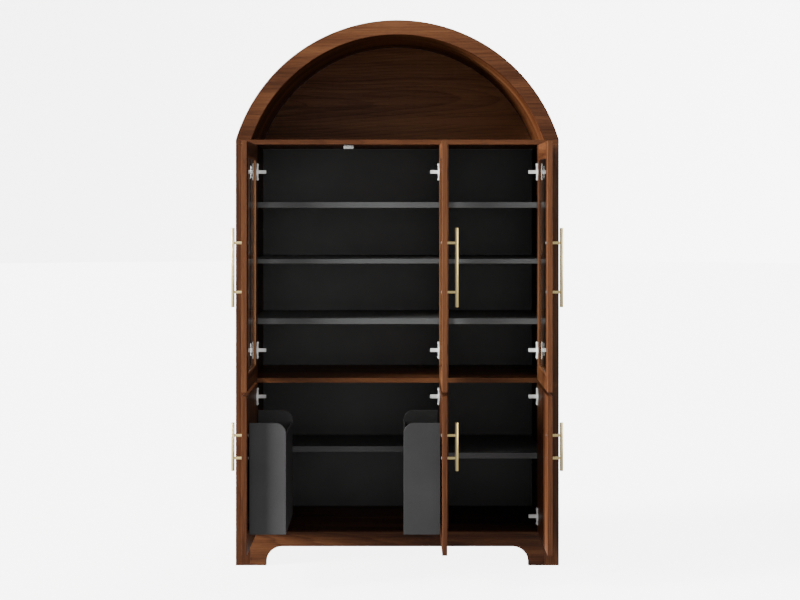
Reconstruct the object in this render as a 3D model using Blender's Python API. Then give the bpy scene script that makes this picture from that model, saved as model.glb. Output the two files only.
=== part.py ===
"""China cabinet with an arched top, three glazed doors above three solid ones, all standing open.

Metres, +Z up. The front faces -Y and the cabinet stands on Z = 0.
Each door hangs from an empty on its hinge axis, and its pieces are modelled around that axis.
"""

import math

import bmesh
import bpy
from mathutils import Matrix, Vector

# Overall sizes
WIDTH = 1.067
HEIGHT = 1.800
DEPTH = 0.400

# Boards and gaps
BOARD = 0.016
POST_FACE = 0.048
WALL_STEP = 0.005
BACK_SHEET = 0.005
BACK_INSET = 0.010
DOOR_GAP = 0.002
SEAT = 0.0003
REBATE_GAP = 0.0025

# Levels
ARCH_RISE = 0.395
MIDDLE_TOP = 0.6166
PLINTH_TOP = 0.112
APRON_FOOT = 0.063
FOOT_WIDTH = 0.1015
FOOT_ROUND = 0.052

# Shelves
SHELF_THICK = 0.019
SHELF_THIN = 0.015
SHELF_INSET = 0.026
BIN_SHELF_INSET = 0.150
UPPER_SHELF_SHARES = (0.754, 0.5095, 0.2545)
LOWER_SHELF_SHARE = 0.522

# Doors
UPPER_LAP = 0.0016
LOWER_LAP = 0.0024
STILE = 0.048
RAIL = 0.052
GLASS_LIP = 0.0080
GLASS_THICK = 0.0032
GLASS_REBATE = 0.008
PIVOT_SIDE = 0.0034
PIVOT_FRONT = 0.003

# Hinges
CUP_CENTRE = 0.0205
CUP_RADIUS = 0.0165
CUP_DEEP = 0.0115
FLANGE_THICK = 0.0044
FLANGE_HALF = 0.0275
KNUCKLE_REACH = 0.030
KNUCKLE_HALF = 0.0055
UPPER_HINGE_TOP = 0.089
UPPER_HINGE_FOOT = 0.098
LOWER_HINGE_TOP = 0.0422
LOWER_HINGE_FOOT = 0.054
LEAF_THICK = 0.0008
LEAF_HALF = 0.020
FOOT_THICK = 0.0012
FOOT_WIDE = 0.0041

# Handles
HANDLE_EDGE = 0.028
HANDLE_REACH = 0.030
BAR_RADIUS = 0.0055
UPPER_BAR = 0.245
UPPER_POSTS = 0.152
LOWER_BAR = 0.149
LOWER_POSTS = 0.070
UPPER_HANDLE_LEVEL = 0.997
LOWER_HANDLE_LEVEL = 0.444

# Door bins
BIN_STANDOFF = 0.005
BIN_DEEP = 0.113
BIN_WALL = 0.006
BIN_SIDE_INSET = 0.0265
BIN_FOOT = 0.173
BIN_TOP = 0.517
BIN_ROUND = 0.032
BIN_BACK_DROP = 0.060

# Derived planes
HALF = WIDTH / 2
POST_IN = HALF - POST_FACE
WALL = POST_IN - WALL_STEP
DOOR_WIDTH = (2 * POST_IN - 4 * DOOR_GAP) / 3
FRONT = (DOOR_WIDTH - PIVOT_SIDE + PIVOT_FRONT - DEPTH) / 2
BACK = FRONT + DEPTH
REBATE_Y = FRONT + BOARD + REBATE_GAP
SHEET_Y = BACK - BACK_INSET - BACK_SHEET
BOARD_END = SHEET_Y - SEAT
TOP_LEVEL = HEIGHT - ARCH_RISE
TOP_UNDER = TOP_LEVEL - BOARD
MIDDLE_UNDER = MIDDLE_TOP - BOARD
PARTITION_X = DOOR_WIDTH / 2 + DOOR_GAP / 2
PARTITION_LEFT = PARTITION_X - BOARD / 2
PARTITION_RIGHT = PARTITION_X + BOARD / 2
UPPER_FOOT = MIDDLE_TOP - UPPER_LAP
UPPER_HEAD = TOP_UNDER - DOOR_GAP
LOWER_FOOT = PLINTH_TOP + DOOR_GAP
LOWER_HEAD = MIDDLE_UNDER + LOWER_LAP

# Finishes: base colour, roughness, metallic
WALNUT = ((0.105, 0.045, 0.022, 1.0), 0.45, 0.0)
CHARCOAL = ((0.045, 0.045, 0.047, 1.0), 0.55, 0.0)
GLASS = ((0.80, 0.84, 0.83, 0.25), 0.04, 0.0)
GOLD = ((0.78, 0.60, 0.36, 1.0), 0.28, 1.0)
NICKEL = ((0.70, 0.69, 0.67, 1.0), 0.25, 1.0)
WHITE_PLASTIC = ((0.80, 0.80, 0.78, 1.0), 0.40, 0.0)

for old in list(bpy.data.objects):
    bpy.data.objects.remove(old, do_unlink=True)

parts = bpy.data.collections.new("china_cabinet")
cutters = bpy.data.collections.new("cutters")
bpy.context.scene.collection.children.link(parts)
bpy.context.scene.collection.children.link(cutters)


def finish(piece, look):
    colour, roughness, metallic = look
    material = bpy.data.materials.new(piece.name + "_finish")
    material.use_nodes = True
    shader = material.node_tree.nodes["Principled BSDF"]
    shader.inputs["Base Color"].default_value = colour
    shader.inputs["Roughness"].default_value = roughness
    shader.inputs["Metallic"].default_value = metallic
    shader.inputs["Alpha"].default_value = colour[3]
    piece.data.materials.append(material)


def place(name, mesh, look=None, hung_on=None):
    """Links a new object: a part when it has a finish, and otherwise a hidden helper."""
    piece = bpy.data.objects.new(name, mesh)
    piece.parent = hung_on
    if look is None:
        cutters.objects.link(piece)
        piece.hide_render = True
        piece.display_type = "WIRE"
    else:
        parts.objects.link(piece)
        finish(piece, look)
    return piece


def box(name, x_range, y_range, z_range, look=None, hung_on=None):
    low = Vector((min(x_range), min(y_range), min(z_range)))
    high = Vector((max(x_range), max(y_range), max(z_range)))
    size = Matrix.Diagonal((*(high - low), 1.0))
    mesh = bpy.data.meshes.new(name)
    shape = bmesh.new()
    bmesh.ops.create_cube(shape, size=1.0, matrix=Matrix.Translation((low + high) / 2) @ size)
    shape.to_mesh(mesh)
    shape.free()
    return place(name, mesh, look, hung_on)


def rod(name, start, end, radius, sides, look=None, hung_on=None):
    """A round bar from start to end."""
    start = Vector(start)
    run = Vector(end) - start
    turn = run.to_track_quat("Z", "Y").to_matrix().to_4x4()
    mesh = bpy.data.meshes.new(name)
    shape = bmesh.new()
    bmesh.ops.create_cone(
        shape,
        cap_ends=True,
        segments=sides,
        radius1=radius,
        radius2=radius,
        depth=run.length,
        matrix=Matrix.Translation(start + run / 2) @ turn,
    )
    shape.to_mesh(mesh)
    shape.free()
    mesh.shade_smooth()
    mesh.set_sharp_from_angle(angle=math.radians(40))
    return place(name, mesh, look, hung_on)


def combine(piece, other, operation):
    step = piece.modifiers.new(operation.lower(), "BOOLEAN")
    step.operation = operation
    step.solver = "EXACT"
    step.object = other


def arc(centre, radius, start, end, steps):
    """Points of an arc, with its angles in degrees."""
    points = []
    for step in range(steps + 1):
        angle = math.radians(start + (end - start) * step / steps)
        points.append((centre[0] + radius * math.cos(angle), centre[1] + radius * math.sin(angle)))
    return points


def outline(name, points, thickness, look=None, hung_on=None):
    """A flat outline in its own XY plane, filled and extruded both ways."""
    curve = bpy.data.curves.new(name, "CURVE")
    curve.dimensions = "2D"
    curve.fill_mode = "BOTH"
    curve.extrude = thickness / 2
    spline = curve.splines.new("POLY")
    spline.points.add(len(points) - 1)
    for point, (x, y) in zip(spline.points, points):
        point.co = (x, y, 0.0, 1.0)
    spline.use_cyclic_u = True
    return place(name, curve, look, hung_on)


def as_mesh(drawn, look=None, hung_on=None):
    """Turns a drawn outline into a mesh that can be cut."""
    bpy.context.view_layer.update()
    graph = bpy.context.evaluated_depsgraph_get()
    mesh = bpy.data.meshes.new_from_object(drawn.evaluated_get(graph))
    mesh.materials.clear()
    mesh.transform(drawn.matrix_local)
    shape = bmesh.new()
    shape.from_mesh(mesh)
    bmesh.ops.remove_doubles(shape, verts=shape.verts, dist=0.00001)
    bmesh.ops.recalc_face_normals(shape, faces=shape.faces)
    shape.to_mesh(mesh)
    shape.free()
    name = drawn.name
    curve = drawn.data
    bpy.data.objects.remove(drawn, do_unlink=True)
    bpy.data.curves.remove(curve)
    return place(name, mesh, look, hung_on)


# The sides: a thick post face in front, stepped in behind it so that the doors close into the step
for side, name in ((-1, "left_side"), (1, "right_side")):
    plan = [
        (side * HALF, FRONT),
        (side * POST_IN, FRONT),
        (side * POST_IN, REBATE_Y),
        (side * WALL, REBATE_Y),
        (side * WALL, BACK),
        (side * HALF, BACK),
    ]
    board = outline(name, plan, TOP_UNDER - SEAT, WALNUT)
    board.location.z = (TOP_UNDER - SEAT) / 2

# The top panel lies over both sides and carries the arch
box("top_panel", (-HALF, HALF), (FRONT, BACK), (TOP_UNDER, TOP_LEVEL), WALNUT)

# The arch is a thick bent band as deep as the cabinet, with a panel closing its back
outer_radius = (HALF**2 + ARCH_RISE**2) / (2 * ARCH_RISE)
inner_radius = outer_radius - POST_FACE
arch_centre = (0.0, HEIGHT - outer_radius)
arch_foot = TOP_LEVEL + SEAT
outer_foot = math.degrees(math.asin((arch_foot - arch_centre[1]) / outer_radius))
inner_foot = math.degrees(math.asin((arch_foot - arch_centre[1]) / inner_radius))
band = arc(arch_centre, outer_radius, outer_foot, 180 - outer_foot, 44)
band += arc(arch_centre, inner_radius, 180 - inner_foot, inner_foot, 44)
arch = outline("arch_frame", band, DEPTH, WALNUT)
arch.rotation_euler.x = math.pi / 2
arch.location.y = FRONT + DEPTH / 2

panel_radius = inner_radius - SEAT
panel_foot = math.degrees(math.asin((arch_foot - arch_centre[1]) / panel_radius))
panel = arc(arch_centre, panel_radius, panel_foot, 180 - panel_foot, 44)
arch_back = outline("arch_back", panel, BACK_SHEET, WALNUT)
arch_back.rotation_euler.x = math.pi / 2
arch_back.location.y = SHEET_Y + BACK_SHEET / 2

# The middle panel stands behind the doors, which lap over the arrises of its front edge
middle = box(
    "middle_panel",
    (-WALL + SEAT, WALL - SEAT),
    (REBATE_Y, BOARD_END),
    (MIDDLE_UNDER, MIDDLE_TOP),
    WALNUT,
)

# The partition runs from the bottom panel to the top panel, halved into the middle panel
partition = box(
    "partition",
    (PARTITION_LEFT, PARTITION_RIGHT),
    (REBATE_Y, BOARD_END),
    (PLINTH_TOP + SEAT, TOP_UNDER - SEAT),
    WALNUT,
)
halving_y = (REBATE_Y + BOARD_END) / 2
partition_slot = box(
    "partition_slot",
    (PARTITION_LEFT - BOARD, PARTITION_RIGHT + BOARD),
    (REBATE_Y - BOARD, halving_y),
    (MIDDLE_UNDER - SEAT, MIDDLE_TOP + SEAT),
)
combine(partition, partition_slot, "DIFFERENCE")
middle_slot = box(
    "middle_slot",
    (PARTITION_LEFT - SEAT, PARTITION_RIGHT + SEAT),
    (halving_y - SEAT, BOARD_END + BOARD),
    (MIDDLE_UNDER - BOARD, MIDDLE_TOP + BOARD),
)
combine(middle, middle_slot, "DIFFERENCE")

# The plinth: a bottom panel, and an apron whose ends run down to the floor as feet
box(
    "bottom_panel",
    (-WALL + SEAT, WALL - SEAT),
    (REBATE_Y, BOARD_END),
    (PLINTH_TOP - BOARD, PLINTH_TOP),
    WALNUT,
)
apron_end = POST_IN - SEAT
foot_in = HALF - FOOT_WIDTH
round_x = foot_in - FOOT_ROUND
round_z = APRON_FOOT - FOOT_ROUND
face = [(-apron_end, PLINTH_TOP), (-apron_end, 0.0), (-foot_in, 0.0)]
face += arc((-round_x, round_z), FOOT_ROUND, 180, 90, 8)
face += arc((round_x, round_z), FOOT_ROUND, 90, 0, 8)
face += [(foot_in, 0.0), (apron_end, 0.0), (apron_end, PLINTH_TOP)]
apron_thick = REBATE_Y - SEAT - FRONT
apron = outline("front_apron", face, apron_thick, WALNUT)
apron.rotation_euler.x = math.pi / 2
apron.location.y = FRONT + apron_thick / 2

# The back sheet closes the whole body below the top panel
box(
    "back_panel",
    (-WALL + SEAT, WALL - SEAT),
    (SHEET_Y, SHEET_Y + BACK_SHEET),
    (PLINTH_TOP - BOARD, TOP_UNDER - SEAT),
    CHARCOAL,
)

# Shelves: three on each side of the partition above, and one on each side below
left_bay = (-WALL + SEAT, PARTITION_LEFT - SEAT)
right_bay = (PARTITION_RIGHT + SEAT, WALL - SEAT)
shelf_depth = (FRONT + SHELF_INSET, BOARD_END)
upper_clear = TOP_UNDER - MIDDLE_TOP
for place_name, level in zip(("top", "middle", "bottom"), UPPER_SHELF_SHARES):
    head = MIDDLE_TOP + level * upper_clear
    thick = SHELF_THIN if place_name == "middle" else SHELF_THICK
    box(f"upper_left_shelf_{place_name}", left_bay, shelf_depth, (head - thick, head), CHARCOAL)
    box(f"upper_right_shelf_{place_name}", right_bay, shelf_depth, (head - thick, head), CHARCOAL)
lower_head = PLINTH_TOP + LOWER_SHELF_SHARE * (MIDDLE_UNDER - PLINTH_TOP)
lower_shelf = (lower_head - SHELF_THICK, lower_head)
bin_shelf_depth = (FRONT + BIN_SHELF_INSET, BOARD_END)
box("lower_left_shelf", left_bay, bin_shelf_depth, lower_shelf, CHARCOAL)
box("lower_right_shelf", right_bay, shelf_depth, lower_shelf, CHARCOAL)

# A magnetic catch holds the two left doors where they meet
catch_x = -PARTITION_X
box(
    "magnetic_catch",
    (catch_x - 0.0165, catch_x + 0.0165),
    (REBATE_Y, REBATE_Y + 0.022),
    (TOP_UNDER - SEAT - 0.013, TOP_UNDER - SEAT),
    WHITE_PLASTIC,
)


def hang(name, axis_x):
    axis = bpy.data.objects.new(name, None)
    axis.location = (axis_x, FRONT - PIVOT_FRONT, 0.0)
    parts.objects.link(axis)
    return axis


def across(hand, start, end):
    """Two distances from the outer face of an open door, as X around its hinge axis."""
    return (hand * (PIVOT_FRONT + start), hand * (PIVOT_FRONT + end))


def along(start, end):
    """Two distances from the hinge edge of an open door, as Y around its hinge axis."""
    return (PIVOT_SIDE - start, PIVOT_SIDE - end)


def add_hinge(door, name, hand, axis, axis_x, level):
    """A cup let into the door, and the bent plate that carries the door at its axis."""
    cup_y = along(CUP_CENTRE, CUP_CENTRE)[0]
    bore_x = across(hand, BOARD - CUP_DEEP - SEAT, BOARD + 0.005)
    bore = rod(
        name + "_bore",
        (bore_x[0], cup_y, level),
        (bore_x[1], cup_y, level),
        CUP_RADIUS + SEAT,
        20,
        hung_on=axis,
    )
    combine(door, bore, "DIFFERENCE")
    cup_x = across(hand, BOARD - CUP_DEEP, BOARD + 0.001)
    cup = rod(
        name + "_cup",
        (cup_x[0], cup_y, level),
        (cup_x[1], cup_y, level),
        CUP_RADIUS,
        20,
        NICKEL,
        axis,
    )
    flange = box(
        name + "_flange",
        across(hand, BOARD + SEAT, BOARD + FLANGE_THICK),
        along(CUP_CENTRE - 0.011, CUP_CENTRE + 0.011),
        (level - FLANGE_HALF, level + FLANGE_HALF),
        hung_on=axis,
    )
    knuckle = box(
        name + "_knuckle",
        across(hand, BOARD - 0.004, BOARD + KNUCKLE_REACH),
        along(CUP_CENTRE - 0.0045, CUP_CENTRE + 0.0045),
        (level - KNUCKLE_HALF, level + KNUCKLE_HALF),
        hung_on=axis,
    )
    combine(cup, flange, "UNION")
    combine(cup, knuckle, "UNION")
    # The bent plate: a foot on the board behind the door, a leaf in the gap beside it, and a barrel
    leaf = (axis_x - hand * (PIVOT_SIDE + SEAT), axis_x - hand * (PIVOT_SIDE + SEAT + LEAF_THICK))
    span = (level - LEAF_HALF, level + LEAF_HALF)
    barrel_y = FRONT - PIVOT_FRONT
    barrel = rod(
        name + "_plate",
        (axis_x, barrel_y, span[0]),
        (axis_x, barrel_y, span[1]),
        PIVOT_FRONT - SEAT,
        16,
        NICKEL,
    )
    web = box(
        name + "_web",
        (axis_x, leaf[1]),
        (barrel_y - LEAF_THICK, barrel_y + LEAF_THICK),
        span,
    )
    blade = box(
        name + "_blade",
        leaf,
        (barrel_y - LEAF_THICK, REBATE_Y - SEAT),
        span,
    )
    foot = box(
        name + "_foot",
        (leaf[1], leaf[1] + hand * FOOT_WIDE),
        (REBATE_Y - SEAT - FOOT_THICK, REBATE_Y - SEAT),
        span,
    )
    combine(barrel, web, "UNION")
    combine(barrel, blade, "UNION")
    combine(barrel, foot, "UNION")


def add_handle(door, name, hand, axis, level, length, spacing):
    """A round bar on two posts, with its screws running through the door."""
    y = along(DOOR_WIDTH - HANDLE_EDGE, 0.0)[0]
    bar_x = across(hand, -HANDLE_REACH, 0.0)[0]
    bar = rod(
        name,
        (bar_x, y, level - length / 2),
        (bar_x, y, level + length / 2),
        BAR_RADIUS,
        16,
        GOLD,
        axis,
    )
    shapes = (
        ("post", -HANDLE_REACH, -SEAT, 0.0042),
        ("screw", -0.004, BOARD + 0.001, 0.002),
        ("head", BOARD + SEAT, BOARD + 0.0026, 0.0045),
    )
    for end in (-1, 1):
        z = level + end * spacing / 2
        hole_x = across(hand, -0.005, BOARD + 0.005)
        hole = rod(f"{name}_hole_{end}", (hole_x[0], y, z), (hole_x[1], y, z), 0.0024, 12, hung_on=axis)
        combine(door, hole, "DIFFERENCE")
        for shape_name, start, finish_at, radius in shapes:
            x = across(hand, start, finish_at)
            shape = rod(
                f"{name}_{shape_name}_{end}", (x[0], y, z), (x[1], y, z), radius, 12, hung_on=axis
            )
            combine(bar, shape, "UNION")


# The doors: hinged on the left post, on the partition and on the right post
hangings = (
    ("left", 1, -POST_IN + DOOR_GAP + PIVOT_SIDE),
    ("middle", -1, DOOR_WIDTH / 2 - PIVOT_SIDE),
    ("right", -1, POST_IN - DOOR_GAP - PIVOT_SIDE),
)
for where, hand, axis_x in hangings:
    # An upper door is a frame with a pane let into a rebate from inside
    axis = hang(f"upper_{where}_axis", axis_x)
    name = f"upper_{where}_door"
    frame = box(
        f"{name}_frame",
        across(hand, 0.0, BOARD),
        along(0.0, DOOR_WIDTH),
        (UPPER_FOOT, UPPER_HEAD),
        WALNUT,
        axis,
    )
    window = box(
        f"{name}_window",
        across(hand, -0.01, BOARD + 0.01),
        along(STILE, DOOR_WIDTH - STILE),
        (UPPER_FOOT + RAIL, UPPER_HEAD - RAIL),
        hung_on=axis,
    )
    rebate = box(
        f"{name}_rebate",
        across(hand, GLASS_LIP, BOARD + 0.01),
        along(STILE - GLASS_REBATE, DOOR_WIDTH - STILE + GLASS_REBATE),
        (UPPER_FOOT + RAIL - GLASS_REBATE, UPPER_HEAD - RAIL + GLASS_REBATE),
        hung_on=axis,
    )
    combine(frame, window, "DIFFERENCE")
    combine(frame, rebate, "DIFFERENCE")
    box(
        f"{name}_glass",
        across(hand, GLASS_LIP + SEAT, GLASS_LIP + SEAT + GLASS_THICK),
        along(STILE - GLASS_REBATE + SEAT, DOOR_WIDTH - STILE + GLASS_REBATE - SEAT),
        (UPPER_FOOT + RAIL - GLASS_REBATE + SEAT, UPPER_HEAD - RAIL + GLASS_REBATE - SEAT),
        GLASS,
        axis,
    )
    top_hinge = UPPER_HEAD - UPPER_HINGE_TOP
    low_hinge = UPPER_FOOT + UPPER_HINGE_FOOT
    add_hinge(frame, f"upper_{where}_top_hinge", hand, axis, axis_x, top_hinge)
    add_hinge(frame, f"upper_{where}_low_hinge", hand, axis, axis_x, low_hinge)
    add_handle(
        frame, f"upper_{where}_handle", hand, axis, UPPER_HANDLE_LEVEL, UPPER_BAR, UPPER_POSTS
    )

    # A lower door is a plain board
    axis = hang(f"lower_{where}_axis", axis_x)
    board = box(
        f"lower_{where}_door",
        across(hand, 0.0, BOARD),
        along(0.0, DOOR_WIDTH),
        (LOWER_FOOT, LOWER_HEAD),
        WALNUT,
        axis,
    )
    top_hinge = LOWER_HEAD - LOWER_HINGE_TOP
    low_hinge = LOWER_FOOT + LOWER_HINGE_FOOT
    add_hinge(board, f"lower_{where}_top_hinge", hand, axis, axis_x, top_hinge)
    add_hinge(board, f"lower_{where}_low_hinge", hand, axis, axis_x, low_hinge)
    add_handle(
        board, f"lower_{where}_handle", hand, axis, LOWER_HANDLE_LEVEL, LOWER_BAR, LOWER_POSTS
    )
    if where == "right":
        continue

    # The two left lower doors carry an open-topped bin on two cleats, lower at the door's side
    bin_start = BIN_SIDE_INSET
    bin_end = DOOR_WIDTH - BIN_SIDE_INSET
    inner, outer = across(hand, BOARD + BIN_STANDOFF, BOARD + BIN_STANDOFF + BIN_DEEP)
    corner = (outer - hand * BIN_ROUND, BIN_TOP - BIN_ROUND)
    profile = [(inner, BIN_TOP), (inner, BIN_FOOT), (outer, BIN_FOOT)]
    if hand > 0:
        profile += arc(corner, BIN_ROUND, 0, 90, 8)
    else:
        profile += arc(corner, BIN_ROUND, 180, 90, 8)
    drawn = outline(f"lower_{where}_bin", profile, bin_end - bin_start)
    drawn.rotation_euler.x = math.pi / 2
    drawn.location.y = along((bin_start + bin_end) / 2, 0.0)[0]
    bin_body = as_mesh(drawn, CHARCOAL, axis)
    cavity = box(
        f"lower_{where}_bin_cavity",
        (inner + hand * BIN_WALL, outer - hand * BIN_WALL),
        along(bin_start + BIN_WALL, bin_end - BIN_WALL),
        (BIN_FOOT + BIN_WALL, BIN_TOP + 0.02),
        hung_on=axis,
    )
    mouth = box(
        f"lower_{where}_bin_mouth",
        (inner + hand * BIN_WALL, outer + hand * 0.02),
        along(bin_start + BIN_WALL, bin_end - BIN_WALL),
        (BIN_TOP - BIN_ROUND - BIN_WALL, BIN_TOP + 0.02),
        hung_on=axis,
    )
    back_foot = BIN_TOP - BIN_BACK_DROP
    back_mouth = box(
        f"lower_{where}_bin_back_mouth",
        (inner - hand * 0.02, inner + hand * BIN_WALL * 1.5),
        along(bin_start + BIN_WALL, bin_end - BIN_WALL),
        (back_foot, BIN_TOP + 0.02),
        hung_on=axis,
    )
    combine(bin_body, cavity, "DIFFERENCE")
    combine(bin_body, mouth, "DIFFERENCE")
    combine(bin_body, back_mouth, "DIFFERENCE")
    for cleat_name, cleat_z in (("high", back_foot - 0.025), ("low", BIN_FOOT + 0.045)):
        cleat = box(
            f"lower_{where}_bin_{cleat_name}_cleat",
            across(hand, BOARD + SEAT, BOARD + BIN_STANDOFF + BIN_WALL / 2),
            along(bin_start + 0.02, bin_end - 0.02),
            (cleat_z - 0.015, cleat_z + 0.015),
            hung_on=axis,
        )
        combine(bin_body, cleat, "UNION")
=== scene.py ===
"""China cabinet with an arched top and six open doors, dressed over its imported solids.

Metres, +Z up. The front faces -Y and the cabinet stands on Z = 0.
"""

import math

import bmesh
import bpy
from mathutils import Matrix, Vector


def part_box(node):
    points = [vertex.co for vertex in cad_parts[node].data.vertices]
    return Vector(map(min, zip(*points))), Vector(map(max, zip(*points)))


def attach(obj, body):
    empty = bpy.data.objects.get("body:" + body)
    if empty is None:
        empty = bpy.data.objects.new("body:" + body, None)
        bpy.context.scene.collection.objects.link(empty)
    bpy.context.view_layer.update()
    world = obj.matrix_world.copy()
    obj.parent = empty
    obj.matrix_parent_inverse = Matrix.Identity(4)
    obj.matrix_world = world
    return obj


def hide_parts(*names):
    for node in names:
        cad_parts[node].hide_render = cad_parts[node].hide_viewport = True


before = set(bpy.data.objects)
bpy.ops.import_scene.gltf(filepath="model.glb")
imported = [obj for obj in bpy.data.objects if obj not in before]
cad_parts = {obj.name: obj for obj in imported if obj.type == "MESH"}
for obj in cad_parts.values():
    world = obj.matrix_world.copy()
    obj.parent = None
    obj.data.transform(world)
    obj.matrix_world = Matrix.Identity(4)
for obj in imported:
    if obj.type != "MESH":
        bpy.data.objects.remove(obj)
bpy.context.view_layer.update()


# The two sides are walnut-veneered boards with a thick post face in front, stepped in behind it
# so that the doors close into the step. Each runs down to the floor, and its arrises are eased
# and lacquered satin. Their faces turned into the cabinet get a darker walnut as painted shade.
class Wire:
    """A socket of a material: sums on it add Math nodes, and add() brings in any other node."""

    def __init__(self, tree, socket=None):
        self.tree = tree
        self.socket = socket

    def add(self, kind, settings, sockets, give=0):
        node = self.tree.nodes.new(kind)
        for key, value in settings.items():
            if key == "stops":
                ramp = node.color_ramp.elements
                while len(ramp) < len(value):
                    ramp.new(0.5)
                for element, (position, colour) in zip(ramp, value):
                    element.position = position
                    element.color = (*colour, 1.0)
            else:
                setattr(node, key, value)
        for key, value in sockets.items():
            if isinstance(value, Wire):
                self.tree.links.new(value.socket, node.inputs[key])
            else:
                node.inputs[key].default_value = value
        return Wire(self.tree, node.outputs[give])

    def into(self, socket):
        self.tree.links.new(self.socket, socket)

    def sum(self, operation, first, second):
        return self.add("ShaderNodeMath", {"operation": operation}, {0: first, 1: second})

    def __add__(self, other):
        return self.sum("ADD", self, other)

    def __radd__(self, other):
        return self.sum("ADD", other, self)

    def __sub__(self, other):
        return self.sum("SUBTRACT", self, other)

    def __rsub__(self, other):
        return self.sum("SUBTRACT", other, self)

    def __mul__(self, other):
        return self.sum("MULTIPLY", self, other)

    def __rmul__(self, other):
        return self.sum("MULTIPLY", other, self)


WALNUT_STOPS = (
    (0.00, (0.016, 0.0048, 0.0018)),
    (0.34, (0.063, 0.0207, 0.0082)),
    (0.60, (0.128, 0.0482, 0.0190)),
    (1.00, (0.256, 0.1100, 0.0470)),
)
SATIN = 0.12
RINGS_A_METRE = 95.0


def new_look(name):
    look = bpy.data.materials.new(name)
    look.use_nodes = True
    return look, look.node_tree.nodes["Principled BSDF"], Wire(look.node_tree)


def grow_walnut(shader, start, side, deep, run, lean, tone, figure, gloss=SATIN):
    """Walnut from three lengths: across the grain, into the board, and along the grain.

    Tone lightens the whole board, and figure scales how strongly its bands and rings show.
    """

    def streaks(across, down, detail):
        """Noise drawn out along the grain: its marks to a metre across it and down it."""
        spread = start.add(
            "ShaderNodeCombineXYZ", {}, {0: side * across, 1: deep * across, 2: run * down}
        )
        return start.add(
            "ShaderNodeTexNoise", {}, {"Vector": spread, "Scale": 1.0, "Detail": detail}
        )

    # Growth rings around a leaning pith show as long arches on a broad face
    sway = streaks(2.6, 1.1, 2.0) - 0.5
    ring_place = start.add(
        "ShaderNodeCombineXYZ", {}, {0: side + sway * 0.10, 1: deep + run * lean + sway * 0.05}
    )
    ring = start.add("ShaderNodeVectorMath", {"operation": "LENGTH"}, {0: ring_place}, "Value")
    wavy_rings = ring * RINGS_A_METRE + streaks(30.0, 2.0, 2.0) * 0.9
    growth = start.add("ShaderNodeMath", {"operation": "FRACT"}, {0: wavy_rings})
    late = start.add(
        "ShaderNodeValToRGB",
        {"stops": ((0.0, (0.35,) * 3), (0.12, (0.0,) * 3), (0.70, (0.45,) * 3), (0.95, (1.0,) * 3))},
        {"Fac": growth},
    )
    bands = streaks(34.0, 1.3, 3.0)
    slow = streaks(7.0, 1.6, 1.0)
    fibres = streaks(420.0, 9.0, 2.0)
    pores = start.add(
        "ShaderNodeMapRange",
        {"interpolation_type": "SMOOTHSTEP"},
        {"Value": streaks(1500.0, 38.0, 1.0), "From Min": 0.60, "From Max": 0.72},
    )
    depth = (
        0.50
        + tone
        + (bands - 0.5) * (0.95 * figure)
        + (slow - 0.5) * (0.55 * figure)
        + (fibres - 0.5) * 0.42
        - late * (0.17 * figure)
        - pores * 0.20
    )
    colour = start.add("ShaderNodeValToRGB", {"stops": WALNUT_STOPS}, {"Fac": depth})
    colour.into(shader.inputs["Base Color"])
    (0.40 + pores * 0.16 - (bands - 0.5) * 0.10).into(shader.inputs["Roughness"])
    bump = start.add(
        "ShaderNodeBump",
        {},
        {"Strength": 0.30, "Distance": 0.0004, "Height": fibres * 0.5 - pores - late * 0.15},
        "Normal",
    )
    bump.into(shader.inputs["Normal"])
    shader.inputs["Specular IOR Level"].default_value = gloss


def walnut(name, order, shift, lean=0.05, tone=0.0, fade=0.0, figure=1.0, painted_light_slope=0.0, gloss=SATIN):
    """Walnut veneer on Object coordinates: order names the axes across, into and along the grain.

    The wood darkens by fade for each metre from the middle of the cabinet, and lightens by
    painted_light_slope for each metre to the right: painted light, or painted shade where it is
    negative.
    """
    look, shader, start = new_look(name)
    place = start.add("ShaderNodeTexCoord", {}, {}, "Object")
    moved = start.add("ShaderNodeVectorMath", {"operation": "ADD"}, {0: place, 1: shift})
    lengths = [start.add("ShaderNodeSeparateXYZ", {}, {0: moved}, axis) for axis in order]
    if fade or painted_light_slope:
        x = start.add("ShaderNodeSeparateXYZ", {}, {0: place}, "X")
        off_middle = start.add("ShaderNodeMath", {"operation": "ABSOLUTE"}, {0: x})
        tone = tone - fade * off_middle + painted_light_slope * x
    grow_walnut(shader, start, *lengths, lean, tone, figure, gloss)
    return look


def show(name, shape, body, nodes, looks, crease=12):
    """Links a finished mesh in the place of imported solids."""
    mesh = bpy.data.meshes.new(name)
    shape.to_mesh(mesh)
    shape.free()
    for extra in ("custom_normal", "sharp_edge"):
        if extra in mesh.attributes:
            mesh.attributes.remove(mesh.attributes[extra])
    for look in looks:
        mesh.materials.append(look)
    mesh.shade_smooth()
    mesh.set_sharp_from_angle(angle=math.radians(crease))
    piece = bpy.data.objects.new(name, mesh)
    bpy.context.scene.collection.objects.link(piece)
    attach(piece, body)
    if nodes:
        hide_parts(*nodes)


WELD = 0.00002
FLAT_ANGLE = 0.01
ARRIS_ANGLE = 0.6
ARRIS_STEPS = 3


def eased(node, radius, shortest=0.012):
    """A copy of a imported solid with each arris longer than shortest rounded."""
    shape = bmesh.new()
    shape.from_mesh(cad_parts[node].data)
    bmesh.ops.remove_doubles(shape, verts=shape.verts, dist=WELD)
    bmesh.ops.dissolve_limit(shape, angle_limit=FLAT_ANGLE, verts=shape.verts, edges=shape.edges)
    arrises = []
    for edge in shape.edges:
        if edge.calc_face_angle(0.0) > ARRIS_ANGLE and edge.calc_length() > shortest:
            arrises.append(edge)
    bmesh.ops.bevel(
        shape,
        geom=arrises,
        offset=radius,
        segments=ARRIS_STEPS,
        profile=0.5,
        affect="EDGES",
        clamp_overlap=True,
    )
    shape.normal_update()
    for face in shape.faces:
        face.material_index = 0
    return shape


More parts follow.
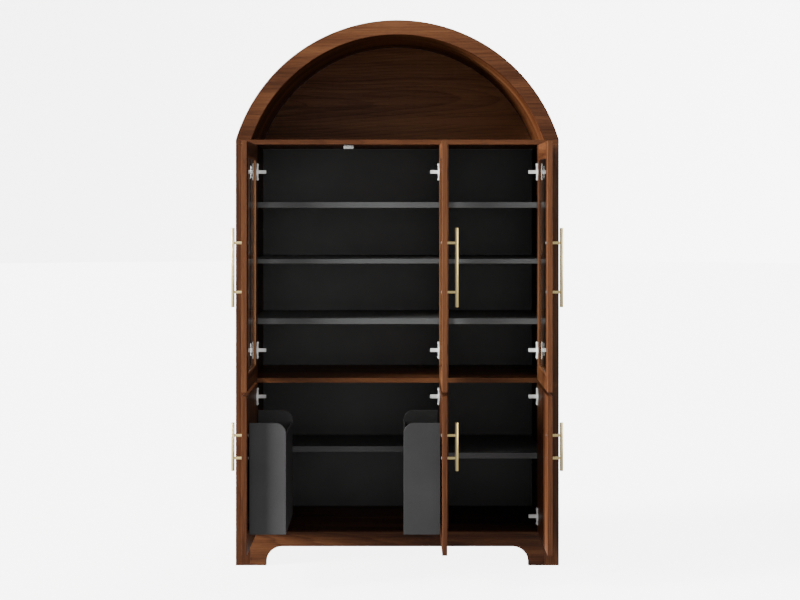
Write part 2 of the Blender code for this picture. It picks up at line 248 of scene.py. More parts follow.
BOARD_EASE = 0.0010
FACING = 0.5
side_woods = (("left", 1, (0.57, 0.11, 0.0), -0.06), ("right", -1, (-0.43, 0.16, 1.7), -0.02))
for side, inward, shift, post_tone in side_woods:
    node = f"{side}_side"
    outer_look = walnut(f"{node}_walnut", "YXZ", shift, tone=-0.02)
    post_look = walnut(f"{node}_post_walnut", "XYZ", shift, tone=post_tone, figure=0.45)
    # Painted shade: the faces turned into the cabinet are made darker for the dark inside
    inner_look = walnut(f"{node}_inner_painted_shade_walnut", "YXZ", shift, tone=-0.32, gloss=0.02)
    shape = eased(node, BOARD_EASE)
    for face in shape.faces:
        if face.normal.y < -FACING:
            face.material_index = 1
        elif face.normal.x * inward > FACING:
            face.material_index = 2
    looks = [outer_look, post_look, inner_look]
    show(f"{node}_board", shape, "cabinet", [node], looks)


# The top, middle and bottom panels are veneered boards with the grain running across the
# cabinet, banded in front with a strip painted lighter as painted light on their front edges,
# most of all on the middle panel. They are dowelled between the sides, and the
# top one lies over them under the arch.
PANEL_EASE = 0.0008
BAND_FACING = 0.3
panel_woods = (
    ("top", (0.4, 0.31, -1.34), 0.00, 0.02),
    ("middle", (2.1, 0.27, -0.52), -0.10, 0.11),
    ("bottom", (3.3, 0.2, -0.05), -0.28, -0.12),
)
for level, shift, tone, band_tone in panel_woods:
    node = f"{level}_panel"
    look = walnut(f"{node}_walnut", "YZX", shift, tone=tone)
    band_look = walnut(f"{node}_band_walnut", "ZYX", shift, tone=band_tone, figure=0.4)
    shape = eased(node, PANEL_EASE)
    for face in shape.faces:
        face.material_index = int(face.normal.y < -BAND_FACING)
    show(f"{level}_board", shape, "cabinet", [node], [look, band_look])


# The partition is a full-height veneered board between the wide and the narrow bay. It is
# halved into the middle panel, and its grain stands upright.
look = walnut("partition_walnut", "YXZ", (-0.07, 0.2, 3.1))
shape = eased("partition", PANEL_EASE)
show("partition_board", shape, "cabinet", ["partition"], [look])


# The apron closes the foot of the front between the posts. It is one board with its grain
# across, sawn out below so that its ends stand on the floor as feet. The curves of the feet have
# short facets, whose arrises are eased as well.
FOOT_FACET = 0.004
# Painted shade: the apron darkens towards the right for the shadow of the open lower doors
look = walnut("apron_walnut", "ZYX", (5.2, 0.12, -0.02), tone=-0.07, painted_light_slope=-0.19)
shape = eased("front_apron", BOARD_EASE, FOOT_FACET)
show("apron_board", shape, "cabinet", ["front_apron"], [look])


# The arch is a thick band bent to a round and as deep as the cabinet. Its face is veneered
# with the grain level, and its inner and outer rounds with the grain along the bend.
ARCH_FACE = 0.048
ARCH_EASE = 0.0012
ARCH_STEPS = 132
CORNER_STEPS = 3
BEND_SPREAD = 0.6
arch_low, arch_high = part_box("arch_frame")
arch_rise = arch_high.z - arch_low.z
arch_outer = (arch_high.x**2 + arch_rise**2) / (2 * arch_rise)
arch_inner = arch_outer - ARCH_FACE
arch_level = arch_high.z - arch_outer
outer_foot = math.asin((arch_low.z - arch_level) / arch_outer)
inner_foot = math.asin((arch_low.z - arch_level) / arch_inner)


def band_profile():
    """The band's section as shares of its face and as Y, with rounded corners."""
    corners = (
        (ARCH_EASE, arch_low.y + ARCH_EASE, 180),
        (ARCH_FACE - ARCH_EASE, arch_low.y + ARCH_EASE, 270),
        (ARCH_FACE - ARCH_EASE, arch_high.y - ARCH_EASE, 0),
        (ARCH_EASE, arch_high.y - ARCH_EASE, 90),
    )
    points = []
    for across, y, begin in corners:
        for step in range(CORNER_STEPS + 1):
            angle = math.radians(begin + 90 / CORNER_STEPS * step)
            reach = across + ARCH_EASE * math.cos(angle)
            points.append((reach / ARCH_FACE, y + ARCH_EASE * math.sin(angle)))
    return points


arch_shape = bmesh.new()
along_uv = arch_shape.loops.layers.uv.new("along_the_bend")
stations = []
profile = band_profile()
for step in range(ARCH_STEPS + 1):
    share = step / ARCH_STEPS
    outer_angle = outer_foot + (math.pi - 2 * outer_foot) * share
    inner_angle = inner_foot + (math.pi - 2 * inner_foot) * share
    outer = Vector((arch_outer * math.cos(outer_angle), arch_outer * math.sin(outer_angle)))
    inner = Vector((arch_inner * math.cos(inner_angle), arch_inner * math.sin(inner_angle)))
    station = []
    for across, y in profile:
        point = inner.lerp(outer, across)
        station.append(arch_shape.verts.new((point.x, y, arch_level + point.y)))
    stations.append(station)
bend_length = arch_outer * (math.pi - 2 * outer_foot)
# A flat of the profile follows each rounded corner: the front face the first, the back the third
front_flat = CORNER_STEPS
back_flat = front_flat + 2 * (CORNER_STEPS + 1)
for step in range(ARCH_STEPS):
    for place in range(len(profile)):
        follow = (place + 1) % len(profile)
        quad = (
            stations[step][place],
            stations[step + 1][place],
            stations[step + 1][follow],
            stations[step][follow],
        )
        face = arch_shape.faces.new(quad)
        flat = place in (front_flat, back_flat)
        face.material_index = 0 if flat else 1
        for loop, far in zip(face.loops, (0, 1, 1, 0)):
            loop[along_uv].uv = (bend_length * (step + far) / ARCH_STEPS, loop.vert.co.y)
arch_shape.faces.new(stations[0])
arch_shape.faces.new(list(reversed(stations[-1])))
bmesh.ops.recalc_face_normals(arch_shape, faces=arch_shape.faces)
face_shift = (0.9, 0.10, -1.22)
face_look = walnut("arch_face_walnut", "ZYX", face_shift, lean=0.03, tone=0.16, fade=0.50, figure=0.65)
bent_look, bent_shader, bent_start = new_look("arch_bend_walnut")
bent_uv = bent_start.add("ShaderNodeUVMap", {"uv_map": "along_the_bend"}, {})
bent_run, bent_side = (bent_start.add("ShaderNodeSeparateXYZ", {}, {0: bent_uv}, axis) for axis in "XY")
grow_walnut(
    bent_shader,
    bent_start,
    bent_side * BEND_SPREAD,
    0.0,
    bent_run,
    lean=0.03,
    tone=0.04,
    figure=1.4,
    gloss=0.03,
)
show("arch_band", arch_shape, "cabinet", ["arch_frame"], [face_look, bent_look])


# The arch's back is a thin veneered sheet let in behind the opening, with its grain level
# and the broad arches of a flat-sawn board. Only its straight foot is eased: the facets of its
# round are shorter than that.
SHEET_EASE = 0.0005
STRAIGHT_FOOT = 0.030
sheet_shift = (-0.1, -0.29, -1.56)
# Painted light: the sheet lightens towards the right, where light falls in through the arch from the
# left
look = walnut("arch_back_walnut", "ZYX", sheet_shift, lean=0.06, tone=0.32, painted_light_slope=0.5)
shape = eased("arch_back", SHEET_EASE, STRAIGHT_FOOT)
show("arch_back_sheet", shape, "cabinet", ["arch_back"], [look])


# The back sheet is a thin board with a dark melamine face. It lies between the sides and is
# nailed to the back edges of the panels and the partition. Its rear is left darker.
def charcoal(name, shift, tone=1.0, gloss=0.5):
    """Dark melamine: a faint cloud in its grey, and the fine pebble of the press."""
    look, shader, start = new_look(name)
    place = start.add("ShaderNodeTexCoord", {}, {}, "Object")
    moved = start.add("ShaderNodeVectorMath", {"operation": "ADD"}, {0: place, 1: shift})
    cloud = start.add("ShaderNodeTexNoise", {}, {"Vector": moved, "Scale": 6.0, "Detail": 3.0})
    pebble = start.add("ShaderNodeTexNoise", {}, {"Vector": moved, "Scale": 900.0, "Detail": 2.0})
    grey = start.add(
        "ShaderNodeMix",
        {"data_type": "RGBA"},
        {
            0: cloud * 0.7 + (pebble - 0.5) * 0.9,
            6: (0.0435 * tone, 0.0430 * tone, 0.0435 * tone, 1.0),
            7: (0.0830 * tone, 0.0820 * tone, 0.0830 * tone, 1.0),
        },
        2,
    )
    grey.into(shader.inputs["Base Color"])
    (0.46 + (pebble - 0.5) * 0.30).into(shader.inputs["Roughness"])
    shader.inputs["Specular IOR Level"].default_value = gloss
    bump = start.add(
        "ShaderNodeBump", {}, {"Strength": 0.25, "Distance": 0.0002, "Height": pebble}, "Normal"
    )
    bump.into(shader.inputs["Normal"])
    return look


inner_look = charcoal("back_charcoal", (0.0, 0.0, 0.0), tone=1.55)
rear_look = charcoal("back_rear_charcoal", (0.0, 0.4, 0.0), tone=0.8)
shape = eased("back_panel", SHEET_EASE)
for face in shape.faces:
    face.material_index = int(face.normal.y > FACING)
show("back_sheet", shape, "cabinet", ["back_panel"], [inner_look, rear_look])


# The shelves are boards with the same dark melamine, banded in front with a lighter grey that is
# partly painted light on the front edges, lighter still on the lower and the right shelves. Each rests
# on four brown pins pushed into the sides and the partition.
shelves = ["lower_left_shelf", "lower_right_shelf"]
for level in ("top", "middle", "bottom"):
    shelves += [f"upper_left_shelf_{level}", f"upper_right_shelf_{level}"]
for number, node in enumerate(shelves):
    look = charcoal(f"{node}_charcoal", (number * 1.7, 0.3, 0.0))
    # Painted light: the bands of the lower and right shelves are made lighter
    band_tone = 1.55 if "lower" in node or "right" in node else 1.27
    band_look = charcoal(f"{node}_band", (number * 1.7, 0.9, 0.0), band_tone)
    shape = eased(node, PANEL_EASE)
    for face in shape.faces:
        face.material_index = int(face.normal.y < -BAND_FACING)
    show(f"{node}_board", shape, "cabinet", [node], [look, band_look])


# The upper doors are frames of upright stiles and level rails, rebated from inside for the
# pane, and banded on their free edge. Each hangs on two cup hinges.
STILE = 0.048
BAND_DEEP = 0.002
PITH_OFF = 0.2
JOINT_WELD = 0.00001
frame_woods = (("left", -0.14, 0.16), ("middle", 0.02, 0.08), ("right", 0.0, 0.12))
for number, (where, tone, band_tone) in enumerate(frame_woods):
    node = f"upper_{where}_door_frame"
    low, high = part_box(node)
    shape = eased(node, BOARD_EASE)
    for joint in (low.y + STILE, high.y - STILE):
        everything = list(shape.verts) + list(shape.edges) + list(shape.faces)
        bmesh.ops.bisect_plane(
            shape,
            geom=everything,
            dist=JOINT_WELD,
            plane_co=(0.0, joint, 0.0),
            plane_no=(0.0, 1.0, 0.0),
        )
    for face in shape.faces:
        middle = face.calc_center_median()
        face.material_index = int(low.y + STILE < middle.y < high.y - STILE)
        if middle.y < low.y + BAND_DEEP:
            face.material_index = 2
    # The pith lies a little off each door, so that the rings show as long arches
    pith = -PITH_OFF - (low.x + high.x) / 2
    stile_look = walnut(f"{node}_stile_walnut", "YXZ", (pith, 0.42, number * 2.3), tone=tone)
    rail_look = walnut(f"{node}_rail_walnut", "ZXY", (pith, number * 1.9, -1.3), tone=tone)
    band_shift = (0.1 + number, 0.3, number * 1.1)
    band_look = walnut(f"{node}_band_walnut", "XYZ", band_shift, tone=band_tone, figure=0.5)
    body = f"upper_{where}_leaf"
    show(f"upper_{where}_frame", shape, body, [node], [stile_look, rail_look, band_look])


# The panes are clear float glass with ground arrises, laid into the rebates from inside and
# held there by the beads.
PANE_EASE = 0.0003


def clear_glass(name):
    look, shader, start = new_look(name)
    output = look.node_tree.nodes["Material Output"]
    look.node_tree.nodes.remove(shader)
    place = start.add("ShaderNodeTexCoord", {}, {}, "Object")
    smear = start.add("ShaderNodeTexNoise", {}, {"Vector": place, "Scale": 5.0, "Detail": 3.0})
    mirror = start.add(
        "ShaderNodeBsdfGlossy", {}, {"Color": (0.98, 1.0, 0.99, 1.0), "Roughness": smear * 0.05}
    )
    open_glass = start.add("ShaderNodeBsdfTransparent", {}, {"Color": (0.94, 0.97, 0.96, 1.0)})
    # Only the face that a ray meets first mirrors, so that a thick pane gives one image
    first_face = 1.0 - start.add("ShaderNodeNewGeometry", {}, {}, "Backfacing")
    share = first_face * start.add("ShaderNodeFresnel", {}, {"IOR": 1.5})
    pane = start.add("ShaderNodeMixShader", {}, {0: share, 1: open_glass, 2: mirror})
    pane.into(output.inputs["Surface"])
    return look


glass_look = clear_glass("pane_glass")
for where in ("left", "middle", "right"):
    node = f"upper_{where}_door_glass"
    shape = eased(node, PANE_EASE)
    show(f"upper_{where}_pane", shape, f"upper_{where}_leaf", [node], [glass_look])


# Wooden glazing beads hold each pane in its rebate: four sticks mitred at the corners and
# pinned from inside, walnut like the frame, with their inner arris rounded off.
RAIL = 0.052
REBATE = 0.008
BEAD_FOOT = 0.0118
BEAD_HEAD = 0.0157
BEAD_ROUND = 0.0015
BEAD_SLACK = 0.0002
BEAD_STEPS = 4
bead_profile = [(BEAD_SLACK, BEAD_FOOT), (BEAD_SLACK, BEAD_HEAD)]
for step in range(BEAD_STEPS + 1):
    turn = math.radians(90 - 90 / BEAD_STEPS * step)
    inward = REBATE - BEAD_ROUND + BEAD_ROUND * math.cos(turn)
    bead_profile.append((inward, BEAD_HEAD - BEAD_ROUND + BEAD_ROUND * math.sin(turn)))
bead_profile.append((REBATE, BEAD_FOOT))
# Painted light: the upright beads differ in tone on each door, lightest on the left, for the lit stile
# reveal
bead_painted_light_tones = (("left", 0.40), ("middle", 0.20), ("right", -0.04))
for number, (where, tone) in enumerate(bead_painted_light_tones):
    low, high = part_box(f"upper_{where}_door_frame")
    rebate_low = Vector((low.y + STILE - REBATE, low.z + RAIL - REBATE))
    rebate_high = Vector((high.y - STILE + REBATE, high.z - RAIL + REBATE))
    corners = (
        (rebate_low.x, rebate_low.y, 1, 1),
        (rebate_high.x, rebate_low.y, -1, 1),
        (rebate_high.x, rebate_high.y, -1, -1),
        (rebate_low.x, rebate_high.y, 1, -1),
    )
    shape = bmesh.new()
    for stick in range(4):
        ends = []
        for y, z, toward_y, toward_z in (corners[stick], corners[(stick + 1) % 4]):
            end = []
            for inward, deep in bead_profile:
                x = low.x + deep if where == "left" else high.x - deep
                end.append(shape.verts.new((x, y + inward * toward_y, z + inward * toward_z)))
            ends.append(end)
        faces = [shape.faces.new(ends[0]), shape.faces.new(ends[1])]
        for place in range(len(bead_profile)):
            follow = (place + 1) % len(bead_profile)
            faces.append(
                shape.faces.new((ends[0][place], ends[1][place], ends[1][follow], ends[0][follow]))
            )
        for face in faces:
            face.material_index = (stick + 1) % 2
    bmesh.ops.recalc_face_normals(shape, faces=shape.faces)
    bead_shift = (0.7 + number, 0.3, number)
    upright_look = walnut(f"{where}_bead_upright", "YXZ", bead_shift, tone=tone, figure=0.5)
    level_look = walnut(f"{where}_bead_level", "ZXY", bead_shift, tone=0.05, figure=0.5)
    looks = [upright_look, level_look]
    show(f"upper_{where}_beads", shape, f"upper_{where}_leaf", [], looks)


# The lower doors are plain veneered boards with the grain upright, banded on their free edge
# and hung on two cup hinges each.
LOWER_PITH_OFF = 0.193
PITH_STEP = 0.085
for number, where in enumerate(("left", "middle", "right")):
    node = f"lower_{where}_door"
    low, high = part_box(node)
    pith = -LOWER_PITH_OFF - number * PITH_STEP - (low.x + high.x) / 2
    look = walnut(f"{node}_walnut", "YXZ", (pith, 0.2, 4.0 + number * 1.7), tone=-0.12)
    band_shift = (0.4 + number, 0.3, 2.0 + number * 1.1)
    band_look = walnut(f"{node}_band_walnut", "XYZ", band_shift, tone=-0.05, figure=0.5)
    shape = eased(node, BOARD_EASE)
    for face in shape.faces:
        face.material_index = int(face.calc_center_median().y < low.y + BAND_DEEP)
    show(f"lower_{where}_board", shape, f"lower_{where}_leaf", [node], [look, band_look])


# Two lower doors carry an open bin of thin dark board with rounded upper corners. The wall that
# faces into the cabinet is darker as painted shade, and the two bins' tones differ as painted
# light and shade. Each is screwed to the door through two cleats.
BIN_EASE = 0.0008
BIN_FACET = 0.004
BIN_GLOSS = 0.15
WALL_PAINTED_SHADE = 0.5
WALL_FACING = 0.9
bin_painted_light_tones = (("left", 1, 1.15), ("middle", -1, 0.63))
for number, (where, inward, tone) in enumerate(bin_painted_light_tones):
    node = f"lower_{where}_bin"
    bin_shift = (0.0, number * 2.1, 0.4)
    look = charcoal(f"{node}_charcoal", bin_shift, tone, BIN_GLOSS)
    # Painted shade: the wall facing into the cabinet is darker
    painted_shade_wall_look = charcoal(f"{node}_painted_shade_wall_charcoal", bin_shift, tone * WALL_PAINTED_SHADE, BIN_GLOSS)
    shape = eased(node, BIN_EASE, BIN_FACET)
    for face in shape.faces:
        face.material_index = int(face.normal.x * inward > WALL_FACING)
    show(f"{node}_box", shape, f"lower_{where}_leaf", [node], [look, painted_shade_wall_look])


# The hinges are plated steel: a cup let into the door with its flange and arm, and a bent
# plate on the cabinet that carries the door.
CUP_EASE = 0.0005
PLATE_EASE = 0.0002
METAL_CREASE = 25
DULL = 0.90


def plated(name, colour, roughness, stretch, metallic):
    """Plated metal with faint marks drawn out along one axis."""
    look, shader, start = new_look(name)
    place = start.add("ShaderNodeTexCoord", {}, {}, "Object")
    drawn = start.add("ShaderNodeVectorMath", {"operation": "MULTIPLY"}, {0: place, 1: stretch})
    marks = start.add("ShaderNodeTexNoise", {}, {"Vector": drawn, "Scale": 1.0, "Detail": 3.0})
    dull = tuple(DULL * part for part in colour)
    tint = start.add(
        "ShaderNodeMix", {"data_type": "RGBA"}, {0: marks, 6: (*dull, 1.0), 7: (*colour, 1.0)}, 2
    )
    tint.into(shader.inputs["Base Color"])
    (roughness + (marks - 0.5) * 0.22).into(shader.inputs["Roughness"])
    bump = start.add(
        "ShaderNodeBump", {}, {"Strength": 0.12, "Distance": 0.0001, "Height": marks}, "Normal"
    )
    bump.into(shader.inputs["Normal"])
    shader.inputs["Metallic"].default_value = metallic
    return look


nickel_look = plated("hinge_nickel", (0.98, 0.98, 0.97), 0.40, (700.0, 700.0, 120.0), 0.15)
for level in ("upper", "lower"):
    for where in ("left", "middle", "right"):
        for end in ("top", "low"):
            hinge = f"{level}_{where}_{end}_hinge"
            leaf = f"{level}_{where}_leaf"
            cup = eased(f"{hinge}_cup", CUP_EASE)
            plate = eased(f"{hinge}_plate", PLATE_EASE)
            looks = [nickel_look]
            show(f"{hinge}_cup_arm", cup, leaf, [f"{hinge}_cup"], looks, METAL_CREASE)
            plate_node = [f"{hinge}_plate"]
            show(f"{hinge}_bent_plate", plate, "cabinet", plate_node, looks, METAL_CREASE)


# The handles are brass-plated round bars with eased ends on two turned posts. Each is screwed
# through the door. The heads of its screws show inside, under brown caps on the lower right door.
HANDLE_REACH = 0.030
POST_RADIUS = 0.0042
DOOR_THICK = 0.016
HEAD_RADIUS = 0.0045
HEAD_HIGH = 0.0026
SEAT = 0.0003
END_EASE = 0.0009
EASE_SHARE = 0.3
POST_ROOT = 0.002
POST_EASE = 0.0005
POST_NARROW = 0.0004
BAR_SIDES = 36
POST_SIDES = 28
HEAD_SIDES = 24
BAR_CREASE = 24
post_spacing = {"upper": 0.152, "lower": 0.070}


def turn_on_lathe(shape, start, along, profile, sides):
    """Adds a turned solid: profile lists distances along the axis with their radii."""
    aside = along.orthogonal().normalized()
    upright = along.cross(aside)
    rings = []
    for distance, radius in profile:
        ring = []
        for side in range(sides):
            angle = 2 * math.pi * side / sides
            reach = aside * math.cos(angle) + upright * math.sin(angle)
            ring.append(shape.verts.new(start + along * distance + reach * radius))
        rings.append(ring)
    made = [shape.faces.new(rings[0]), shape.faces.new(rings[-1])]
    for near, far in zip(rings, rings[1:]):
        for side in range(sides):
            follow = (side + 1) % sides
            made.append(shape.faces.new((near[side], near[follow], far[follow], far[side])))
    return made


screw_look = plated("screw_steel", (0.20, 0.18, 0.16), 0.60, (700.0, 700.0, 700.0), 0.3)
cap_look = plated("screw_cap_brown", (0.085, 0.03, 0.012), 0.6, (300.0, 300.0, 300.0), 0.0)
gold_look = plated("handle_gold", (1.0, 0.80, 0.35), 0.30, (900.0, 900.0, 25.0), 0.45)
for level in ("upper", "lower"):
    for where in ("left", "middle", "right"):
        node = f"{level}_{where}_handle"
        low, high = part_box(node)
        inward = Vector((1.0 if where == "left" else -1.0, 0.0, 0.0))
        bar_radius = (high.y - low.y) / 2
        bar_x = low.x + bar_radius if where == "left" else high.x - bar_radius
        bar_foot = Vector((bar_x, (low.y + high.y) / 2, low.z))
        bar_long = high.z - low.z
        bar_profile = (
            (0.0, bar_radius - END_EASE),
            (END_EASE * EASE_SHARE, bar_radius - END_EASE * EASE_SHARE),
            (END_EASE, bar_radius),
            (bar_long - END_EASE, bar_radius),
            (bar_long - END_EASE * EASE_SHARE, bar_radius - END_EASE * EASE_SHARE),
            (bar_long, bar_radius - END_EASE),
        )
        shape = bmesh.new()
        turn_on_lathe(shape, bar_foot, Vector((0.0, 0.0, 1.0)), bar_profile, BAR_SIDES)
        for end in (-1, 1):
            post_rise = bar_long / 2 + end * post_spacing[level] / 2
            post = bar_foot + Vector((0.0, 0.0, post_rise))
            post_profile = (
                (POST_ROOT, POST_RADIUS),
                (HANDLE_REACH - SEAT - POST_EASE, POST_RADIUS),
                (HANDLE_REACH - SEAT, POST_RADIUS - POST_NARROW),
            )
            turn_on_lathe(shape, post, inward, post_profile, POST_SIDES)
            head = post + inward * (HANDLE_REACH + DOOR_THICK + SEAT)
            head_profile = (
                (0.0, HEAD_RADIUS),
                (HEAD_HIGH * 0.5 - SEAT, HEAD_RADIUS),
                (HEAD_HIGH * 0.85 - SEAT, HEAD_RADIUS * 0.8),
                (HEAD_HIGH - SEAT, HEAD_RADIUS * 0.4),
            )
            for face in turn_on_lathe(shape, head, inward, head_profile, HEAD_SIDES):
                face.material_index = 1
        bmesh.ops.recalc_face_normals(shape, faces=shape.faces)
        capped = level == "lower" and where == "right"
        looks = [gold_look, cap_look if capped else screw_look]
        show(f"{node}_bar", shape, f"{level}_{where}_leaf", [node], looks, BAR_CREASE)


# The magnetic catch is a moulded housing of white plastic with well-rounded arrises. It is
# screwed under the top panel where the left and the middle door meet.
CATCH_EASE = 0.0030
look, shader, start = new_look("catch_white")
place = start.add("ShaderNodeTexCoord", {}, {}, "Object")
speck = start.add("ShaderNodeTexNoise", {}, {"Vector": place, "Scale": 500.0, "Detail": 2.0})
white = start.add(
    "ShaderNodeMix",
    {"data_type": "RGBA"},
    {0: speck, 6: (0.60, 0.60, 0.58, 1.0), 7: (0.78, 0.78, 0.76, 1.0)},
    2,
)
white.into(shader.inputs["Base Color"])
(0.35 + speck * 0.2).into(shader.inputs["Roughness"])
shape = eased("magnetic_catch", CATCH_EASE)
show("catch_housing", shape, "cabinet", ["magnetic_catch"], [look])


# Small fasteners are set by Geometry Nodes on points that carry the way they face: plated
# cross-recessed screws on the hinges and in the bins, round brown pins under the shelves, and
# plated nails along the back sheet.
FASTENER_SIDES = 20
RECESS_LONG = 1.1
RECESS_WIDE = 0.26


def fastener_tree(name, recessed):
    """A turned head on every point, spun at random about its axis, with or without a recess."""
    tree = bpy.data.node_groups.new(name, "GeometryNodeTree")
    inputs = (
        ("Points", "NodeSocketGeometry"),
        ("Radius", "NodeSocketFloat"),
        ("Taper", "NodeSocketFloat"),
        ("Height", "NodeSocketFloat"),
        ("Seed", "NodeSocketInt"),
        ("Look", "NodeSocketMaterial"),
    )
    for label, kind in inputs:
        tree.interface.new_socket(label, in_out="INPUT", socket_type=kind)
    tree.interface.new_socket("Fasteners", in_out="OUTPUT", socket_type="NodeSocketGeometry")
    start = Wire(tree)
    given = {label: start.add("NodeGroupInput", {}, {}, label) for label, kind in inputs}
    radius = given["Radius"]
    head = start.add(
        "GeometryNodeMeshCone",
        {},
        {
            "Vertices": FASTENER_SIDES,
            "Radius Top": radius * given["Taper"],
            "Radius Bottom": radius,
            "Depth": given["Height"],
        },
    )
    if recessed:
        lift = start.add("ShaderNodeCombineXYZ", {}, {2: given["Height"]})
        for wide, tall in ((RECESS_LONG, RECESS_WIDE), (RECESS_WIDE, RECESS_LONG)):
            sides = {0: radius * wide, 1: radius * tall, 2: given["Height"]}
            size = start.add("ShaderNodeCombineXYZ", {}, sides)
            block = start.add("GeometryNodeMeshCube", {}, {"Size": size})
            moved = start.add(
                "GeometryNodeTransform", {}, {"Geometry": block, "Translation": lift}
            )
            head = start.add(
                "GeometryNodeMeshBoolean",
                {"operation": "DIFFERENCE", "solver": "EXACT"},
                {"Mesh 1": head, "Mesh 2": moved},
            )
    facing = start.add(
        "GeometryNodeInputNamedAttribute", {"data_type": "FLOAT_VECTOR"}, {"Name": "facing"}
    )
    upright = start.add("FunctionNodeAlignRotationToVector", {"axis": "Z"}, {"Vector": facing})
    spin = start.add(
        "FunctionNodeRandomValue", {"data_type": "FLOAT"}, {2: 0.0, 3: math.pi, 8: given["Seed"]}, 1
    )
    turn = start.add(
        "FunctionNodeAxisAngleToRotation", {}, {"Axis": (0.0, 0.0, 1.0), "Angle": spin}
    )
    stand = start.add(
        "FunctionNodeRotateRotation",
        {"rotation_space": "LOCAL"},
        {"Rotation": upright, "Rotate By": turn},
    )
    placed = start.add(
        "GeometryNodeInstanceOnPoints",
        {},
        {"Points": given["Points"], "Instance": head, "Rotation": stand},
    )
    real = start.add("GeometryNodeRealizeInstances", {}, {"Geometry": placed})
    dressed = start.add(
        "GeometryNodeSetMaterial", {}, {"Geometry": real, "Material": given["Look"]}
    )
    dressed.into(tree.nodes.new("NodeGroupOutput").inputs["Fasteners"])
    return tree


def fasten(name, tree, spots, sizes, body):
    """Bakes one tree over a list of points and the ways they face, as one plain mesh."""
    points = bpy.data.meshes.new(name + "_points")
    points.from_pydata([spot for spot, toward in spots], [], [])
    facing = points.attributes.new("facing", "FLOAT_VECTOR", "POINT")
    for entry, (spot, toward) in zip(facing.data, spots):
        entry.vector = toward
    piece = bpy.data.objects.new(name, points)
    bpy.context.scene.collection.objects.link(piece)
    setter = piece.modifiers.new("fasteners", "NODES")
    setter.node_group = tree
    for socket in tree.interface.items_tree:
        if socket.name in sizes:
            setter[socket.identifier] = sizes[socket.name]
    graph = bpy.context.evaluated_depsgraph_get()
    baked = bpy.data.meshes.new_from_object(piece.evaluated_get(graph))
    piece.modifiers.remove(setter)
    piece.data = baked
    baked.shade_smooth()
    baked.set_sharp_from_angle(angle=math.radians(METAL_CREASE))
    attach(piece, body)


screw_tree = fastener_tree("recessed_screws", True)
pin_tree = fastener_tree("round_pins", False)
FLANGE_THICK = 0.0044
SCREW_RISE = 0.0235
BIN_WALL_OFF = 0.011
BIN_SCREW_FOOT = 0.045
BIN_SCREW_HEAD = 0.085
screw_sizes = {"Radius": 0.0036, "Taper": 0.75, "Height": 0.0012, "Seed": 7, "Look": nickel_look}
for level in ("upper", "lower"):
    for where in ("left", "middle", "right"):
        door = f"{level}_{where}_door_frame" if level == "upper" else f"{level}_{where}_door"
        door_low, door_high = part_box(door)
        hand = 1.0 if where == "left" else -1.0
        inner_face = door_high.x if where == "left" else door_low.x
        toward = (hand, 0.0, 0.0)
        spots = []
        for end in ("top", "low"):
            low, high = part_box(f"{level}_{where}_{end}_hinge_cup")
            middle = (low + high) / 2
            for rise in (-SCREW_RISE, SCREW_RISE):
                spot = (inner_face + hand * FLANGE_THICK, middle.y, middle.z + rise)
                spots.append((spot, toward))
        if level == "lower" and where != "right":
            low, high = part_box(f"lower_{where}_bin")
            deep = inner_face + hand * BIN_WALL_OFF
            for share in (0.25, 0.75):
                y = low.y + share * (high.y - low.y)
                spots.append(((deep, y, low.z + BIN_SCREW_FOOT), toward))
                spots.append(((deep, y, high.z - BIN_SCREW_HEAD), toward))
        fasten(f"{level}_{where}_screws", screw_tree, spots, screw_sizes, f"{level}_{where}_leaf")

PIN_RADIUS = 0.0026
PIN_DROP = 0.0003
PIN_FRONT = 0.095
PIN_BACK = 0.050
spots = []
for node in shelves:
    low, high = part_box(node)
    z = low.z - PIN_DROP - PIN_RADIUS
    for y in (low.y + PIN_FRONT, high.y - PIN_BACK):
        spots.append(((low.x, y, z), (1.0, 0.0, 0.0)))
        spots.append(((high.x, y, z), (-1.0, 0.0, 0.0)))
pin_sizes = {"Radius": PIN_RADIUS, "Taper": 0.85, "Height": 0.010, "Seed": 3, "Look": cap_look}
fasten("shelf_pins", pin_tree, spots, pin_sizes, "cabinet")

NAIL_STEP = 0.11
NAILS_EACH_WAY = 4
UPRIGHT_NAILS = 10
SKIPPED_NAIL = 4
sheet_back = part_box("back_panel")[1].y
spots = []
for node in ("middle_panel", "bottom_panel"):
    low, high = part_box(node)
    for place in range(-NAILS_EACH_WAY, NAILS_EACH_WAY + 1):
        spots.append(((place * NAIL_STEP, sheet_back, (low.z + high.z) / 2), (0.0, 1.0, 0.0)))
low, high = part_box("partition")
for place in range(1, UPRIGHT_NAILS + 1):
    # The place next below the middle panel's row is left out
    if place != SKIPPED_NAIL:
        z = low.z + place * NAIL_STEP
        spots.append((((low.x + high.x) / 2, sheet_back, z), (0.0, 1.0, 0.0)))
nail_sizes = {"Radius": 0.0026, "Taper": 0.6, "Height": 0.0009, "Seed": 5, "Look": nickel_look}
fasten("back_nails", pin_tree, spots, nail_sizes, "cabinet")


# The studio: a wide pale floor under a pale dome, two soft lamps low and high at the left, a weak one
# behind, one at the right that only glints on gloss, and a level camera straight in front. Floor and
# dome show white without lighting the part.
def pale_stage(name, mesh, light):
    """A stage surface with a faint mottle, seen by the camera alone."""
    look, shader, start = new_look(name + "_paint")
    place = start.add("ShaderNodeTexCoord", {}, {}, "Object")
    mottle = start.add("ShaderNodeTexNoise", {}, {"Vector": place, "Scale": 2.0, "Detail": 2.0})
    pale = start.add(
        "ShaderNodeMix",
        {"data_type": "RGBA"},
        {0: mottle, 6: (0.86, 0.86, 0.86, 1.0), 7: (0.90, 0.90, 0.90, 1.0)},
        2,
    )
    pale.into(shader.inputs["Base Color"])
    shader.inputs["Roughness"].default_value = 0.9
    shader.inputs["Emission Color"].default_value = (1.0, 1.0, 1.0, 1.0)
    shader.inputs["Emission Strength"].default_value = light
    mesh.materials.append(look)
    surface = bpy.data.objects.new(name, mesh)
    surface.visible_diffuse = False
    surface.visible_glossy = False
    surface.visible_shadow = False
    bpy.context.scene.collection.objects.link(surface)


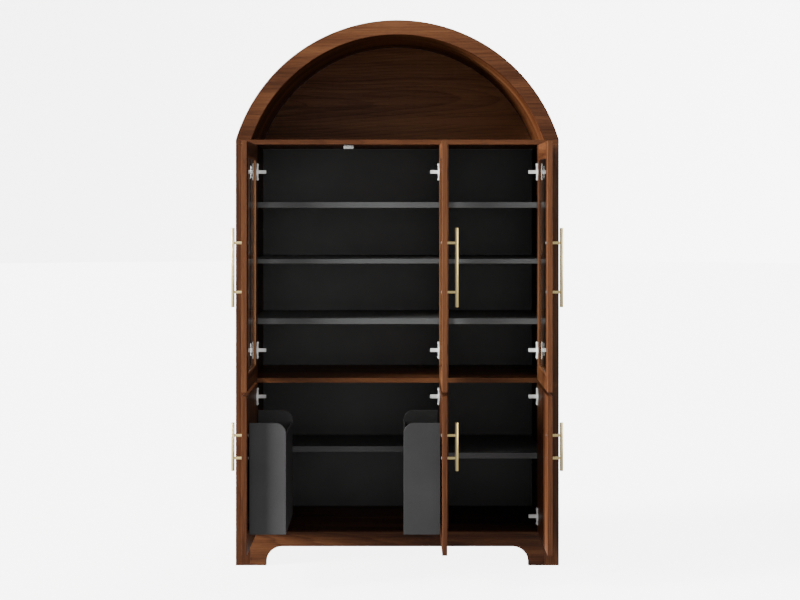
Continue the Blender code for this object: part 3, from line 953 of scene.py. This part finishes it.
STAGE_REACH = 24.0
STAGE_LIGHT = 5.5
WORLD_LIGHT = 0.54
floor_mesh = bpy.data.meshes.new("floor")
floor_corners = [(-STAGE_REACH, -STAGE_REACH, 0.0), (STAGE_REACH, -STAGE_REACH, 0.0)]
floor_corners += [(STAGE_REACH, STAGE_REACH, 0.0), (-STAGE_REACH, STAGE_REACH, 0.0)]
floor_mesh.from_pydata(floor_corners, [], [(0, 1, 2, 3)])
pale_stage("floor", floor_mesh, STAGE_LIGHT)
dome_shape = bmesh.new()
bmesh.ops.create_uvsphere(dome_shape, u_segments=48, v_segments=24, radius=STAGE_REACH)
dome_mesh = bpy.data.meshes.new("dome")
dome_shape.to_mesh(dome_mesh)
dome_shape.free()
dome_mesh.shade_smooth()
pale_stage("dome", dome_mesh, STAGE_LIGHT)

world = bpy.data.worlds.new("studio")
world.use_nodes = True
backdrop = world.node_tree.nodes["Background"]
backdrop.inputs["Color"].default_value = (1.0, 1.0, 1.0, 1.0)
backdrop.inputs["Strength"].default_value = WORLD_LIGHT
bpy.context.scene.world = world


def lamp(name, azimuth, elevation, softness, strength, gloss=True, matt=True):
    """A distant soft lamp: angles in degrees, azimuth counted from the front towards the left.

    Gloss and matt say which kind of reflection it takes part in.
    """
    light = bpy.data.lights.new(name, "SUN")
    light.angle = math.radians(softness)
    light.energy = strength
    turn = math.radians(azimuth)
    rise = math.radians(elevation)
    toward = Vector((-math.sin(turn) * math.cos(rise), -math.cos(turn) * math.cos(rise), math.sin(rise)))
    stand = bpy.data.objects.new(name, light)
    stand.rotation_euler = toward.to_track_quat("Z", "Y").to_euler()
    stand.visible_glossy = gloss
    stand.visible_diffuse = matt
    bpy.context.scene.collection.objects.link(stand)


lamp("low_lamp", 72.0, 9.0, 16.0, 8.5)
lamp("high_lamp", 75.0, 30.0, 14.0, 3.45)
lamp("back_lamp", 205.0, 35.0, 30.0, 2.0, gloss=False)
lamp("glint_lamp", -50.0, 8.0, 34.0, 3.0, matt=False)

PHOTO_WIDTH = 800
PHOTO_HEIGHT = 600
METRES_A_PIXEL = 0.0032992
HORIZON_ROW = 203.0
MIDDLE_COLUMN = 397.35
FLOOR_ROW = 565.54
CAMERA_OFF = 4.531
SENSOR = 36.0
front_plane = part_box("front_apron")[0].y
view = bpy.data.cameras.new("camera")
view.sensor_width = SENSOR
view.lens = SENSOR * CAMERA_OFF / (PHOTO_WIDTH * METRES_A_PIXEL)
view.shift_y = (HORIZON_ROW - PHOTO_HEIGHT / 2) / PHOTO_WIDTH
camera = bpy.data.objects.new("camera", view)
camera.location = (
    (PHOTO_WIDTH / 2 - MIDDLE_COLUMN) * METRES_A_PIXEL,
    front_plane - CAMERA_OFF,
    (FLOOR_ROW - HORIZON_ROW) * METRES_A_PIXEL,
)
camera.rotation_euler = (math.pi / 2, 0.0, 0.0)
bpy.context.scene.collection.objects.link(camera)
bpy.context.scene.camera = camera
